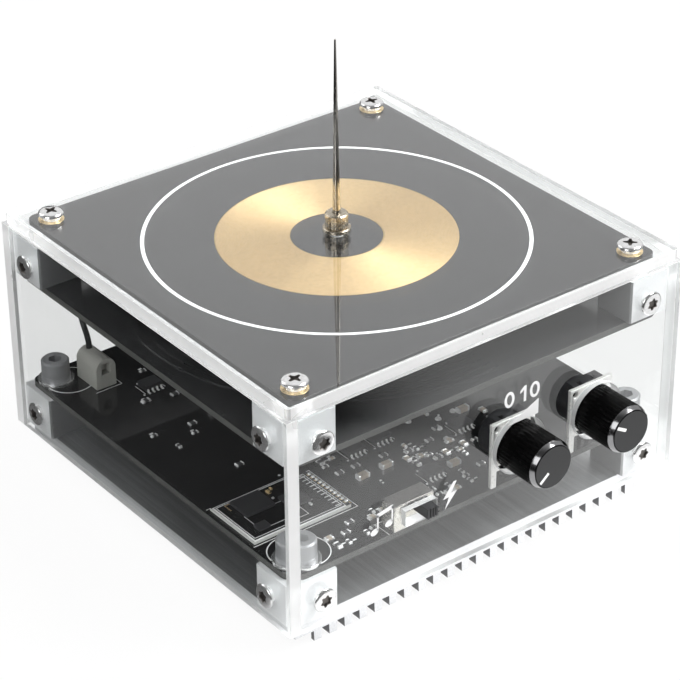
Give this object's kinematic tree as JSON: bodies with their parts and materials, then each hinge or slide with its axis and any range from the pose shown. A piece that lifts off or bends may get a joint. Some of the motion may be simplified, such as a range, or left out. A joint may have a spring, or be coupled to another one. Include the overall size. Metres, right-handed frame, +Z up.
{
  "type": "desktop resonant transformer",
  "caption": "Clear acrylic case on a finned heatsink, with a flat spiral coil board under its top, an upright discharge needle, two knobs and a slide switch.",
  "frame": {"origin": "middle of the underside of the heatsink's fins, on the surface the part stands on", "axes": "+Z up, -Y out of the front panel that carries the knobs, +X to the right seen from the front"},
  "size_m": [0.1164, 0.1269, 0.1157],
  "materials": {
    "bare_aluminium": "satin, brushed along Y",
    "cast_block": "fine satin",
    "clear_acrylic": "clear, polished faces and sawn edges",
    "screw_steel": "bright nickel plate",
    "dark_steel": "dark",
    "brass": "polished",
    "black_board": "gloss solder mask",
    "gold_track": "gold flash",
    "dark_track": "under black solder mask",
    "needle_steel": "ground and polished",
    "nickel": "nickel plate",
    "tin": "tinned",
    "black_moulding": "matt",
    "pad_silicone": "matt",
    "tan_ceramic": "satin",
    "dark_ceramic": "satin",
    "knob_black": "gloss",
    "cap_grey": "satin",
    "mark_white": "matt",
    "white_nylon": "semi-gloss",
    "lead_jacket": "matt"
  },
  "bodies": {
    "case": {"heatsink": "bare_aluminium", "base_screws": "dark_steel", "lower_corner_blocks": "cast_block", "upper_corner_blocks": "cast_block", "front_panel": "clear_acrylic", "left_panel": "clear_acrylic", "rear_panel": "clear_acrylic", "right_panel": "clear_acrylic", "top_plate": "clear_acrylic", "front_screws": "screw_steel", "left_screws": "screw_steel", "rear_screws": "screw_steel", "right_screws": "screw_steel", "top_screws": "screw_steel", "coil_board_pads": "gold_track", "coil_board": "black_board", "secondary_coil": "gold_track", "primary_board": "black_board", "primary_coil": "dark_track", "primary_board_screws": "screw_steel", "needle": "needle_steel", "needle_holder": "nickel", "needle_stud_nut": "brass", "main_board": "black_board", "board_washers": "screw_steel", "board_spring_washers": "screw_steel", "board_bolts": "screw_steel", "power_transistors": "black_moulding", "transistor_pads": "pad_silicone", "transistor_legs": "tin", "transistor_screws": "screw_steel", "radio_module": "black_board", "module_parts": "nickel", "small_chips": "black_moulding", "chip_leads": "tin", "ceramic_capacitors": "tan_ceramic", "resistors": "dark_ceramic", "switch_shell": "nickel", "switch_pins": "tin", "left_control": "black_moulding", "left_control_plate": "nickel", "left_control_nut": "screw_steel", "right_control": "black_moulding", "right_control_plate": "nickel", "right_control_nut": "screw_steel", "lead_terminal": "white_nylon", "coil_lead": "lead_jacket", "power_inlet": "black_moulding", "power_inlet_pin": "tin"},
    "left_dial": {"left_shaft": "tin", "left_knob": "knob_black", "left_knob_cap": "cap_grey", "left_knob_mark": "mark_white"},
    "right_dial": {"right_shaft": "tin", "right_knob": "knob_black", "right_knob_cap": "cap_grey", "right_knob_mark": "mark_white"},
    "lever": {"switch_lever": "black_moulding"}
  },
  "joints": [
    {"name": "left_dial_turn", "type": "hinge", "parent": "case", "child": "left_dial", "pos_m": [0.0088, -0.0686, 0.03175], "axis": [0, 1, 0], "range_deg": [-20, 280]},
    {"name": "right_dial_turn", "type": "hinge", "parent": "case", "child": "right_dial", "pos_m": [0.03277, -0.0686, 0.03175], "axis": [0, 1, 0], "range_deg": [-90, 210]},
    {"name": "switch_slide", "type": "slide", "parent": "case", "child": "lever", "axis": [-1, 0, 0], "range_m": [0, 0.004]}
  ]
}
